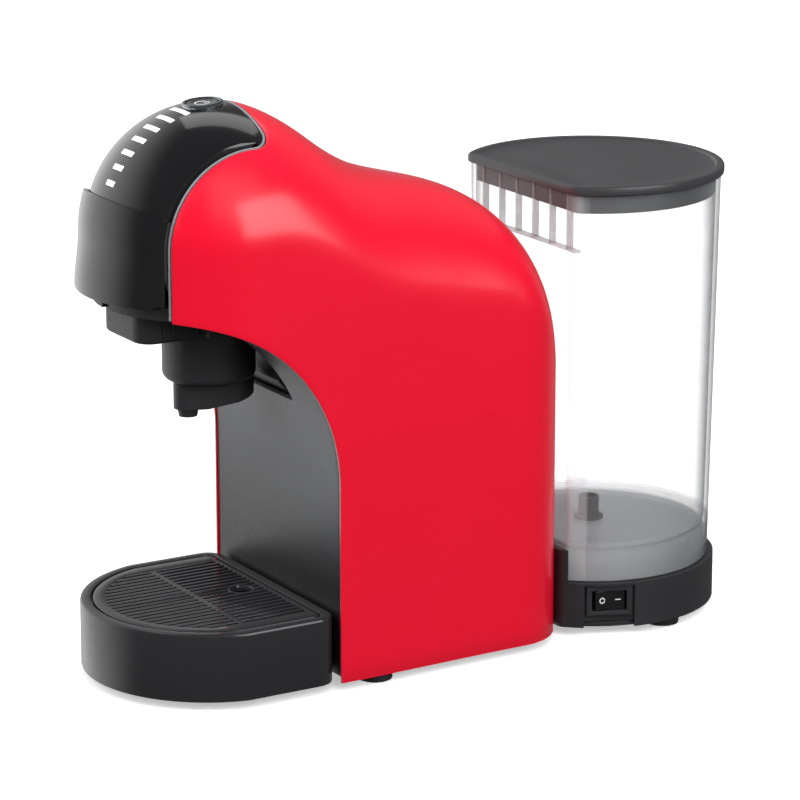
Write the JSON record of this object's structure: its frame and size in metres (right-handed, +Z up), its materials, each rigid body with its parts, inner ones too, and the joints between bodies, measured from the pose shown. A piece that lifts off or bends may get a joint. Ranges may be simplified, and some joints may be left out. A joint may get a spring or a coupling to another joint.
{
  "type": "pod coffee machine",
  "caption": "Countertop pod coffee machine with a lever-locked brewing head, sliding pod holder, drip tray with a slotted grid, and a lift-off water tank.",
  "frame": {"origin": "on the counter under the middle of the machine's box", "axes": "+Z up, -Y towards the user, +X to the machine's left seen from the user's side"},
  "size_m": [0.123, 0.3262, 0.2639],
  "materials": {
    "red_shell": "high gloss one-piece moulding",
    "black_gloss": "polished black moulding",
    "black_satin": "fine satin texture",
    "column_grey": "semi-gloss dark grey moulding",
    "trim_grey": "satin light grey line",
    "light_white": "translucent white light bars",
    "chrome_ring": "bright ring",
    "clear_tank": "clear moulded water tank",
    "steel": "pressed and turned steel",
    "aluminium_block": "die-cast block",
    "brass_part": "turned brass",
    "rubber_black": "moulded rubber",
    "rubber_red": "silicone seals",
    "hose_white": "silicone hose",
    "board_green": "circuit board",
    "nylon_white": "natural nylon"
  },
  "bodies": {
    "housing": {"base_plate": "black_satin", "front_column": "column_grey", "body_hood": "red_shell", "head_trim": "trim_grey", "control_panel": "black_gloss", "led_windows": "light_white", "led_board": "board_green", "button_ring": "chrome_ring", "head_chin": "black_satin", "holder_bracket": "black_satin", "brew_frame": "steel", "thermoblock": "aluminium_block", "thermostat": "nylon_white", "pump": "steel", "pump_mounts": "rubber_black", "flow_meter": "nylon_white", "relief_valve": "brass_part", "inlet_hose": "hose_white", "pressure_hose": "hose_white", "brew_hose": "hose_white", "control_board": "board_green", "tank_dock": "black_satin", "dock_socket": "black_satin", "dock_seal": "rubber_red", "switch_bezel": "black_satin", "feet": "rubber_black", "screws": "steel", "cord_bush": "rubber_black", "lever_pins": "steel"},
    "lever": {"lever_cover": "black_gloss", "lever_arms": "black_satin"},
    "piston": {"brew_piston": "nylon_white", "piston_seal": "rubber_red", "piercing_needle": "steel", "piston_crossbar": "steel"},
    "holder": {"holder_cup": "black_satin", "holder_grip": "black_satin", "holder_sieve": "steel", "spout": "black_satin"},
    "tray": {"drip_tray": "black_gloss"},
    "grid": {"drip_grid": "black_gloss"},
    "tank": {"water_tank": "clear_tank", "valve_housing": "black_satin"},
    "valve": {"valve_stem": "nylon_white", "valve_seal": "rubber_red"},
    "lid": {"tank_lid": "black_gloss"},
    "button": {"power_button": "black_gloss"},
    "switch_rocker": {"rocker": "black_gloss"}
  },
  "joints": [
    {"name": "lever_swing", "type": "hinge", "parent": "housing", "child": "lever", "pos_m": [0, -0.1, 0.206], "axis": [-1, 0, 0], "range_deg": [0, 62]},
    {"name": "piston_lift", "type": "slide", "parent": "housing", "child": "piston", "axis": [0, 0, 1], "range_m": [0, 0.0095]},
    {"name": "holder_slide", "type": "slide", "parent": "housing", "child": "holder", "axis": [0, -1, 0], "range_m": [0, 0.075]},
    {"name": "tray_slide", "type": "slide", "parent": "housing", "child": "tray", "axis": [0, -1, 0], "range_m": [0, 0.1]},
    {"name": "grid_lift", "type": "slide", "parent": "tray", "child": "grid", "axis": [0, 0, 1], "range_m": [0, 0.03]},
    {"name": "tank_lift", "type": "slide", "parent": "housing", "child": "tank", "axis": [0, 0, 1], "range_m": [0, 0.12]},
    {"name": "lid_lift", "type": "slide", "parent": "tank", "child": "lid", "axis": [0, 0, 1], "range_m": [0, 0.05]},
    {"name": "valve_travel", "type": "slide", "parent": "tank", "child": "valve", "axis": [0, 0, 1], "range_m": [0, 0.0025], "stiffness_N_per_m": 60, "springref_m": -0.001},
    {"name": "button_press", "type": "slide", "parent": "housing", "child": "button", "axis": [0, 0.0837, -0.9965], "range_m": [0, 0.0012], "stiffness_N_per_m": 400, "springref_m": -0.0003},
    {"name": "switch_rock", "type": "hinge", "parent": "housing", "child": "switch_rocker", "pos_m": [0.04989, 0.07981, 0.0174], "axis": [0, 0, -1], "range_deg": [0, 20]}
  ],
  "couplings": [
    {"joint": "piston_lift", "follows": "lever_swing", "m_per_rad": 0.0087792}
  ]
}
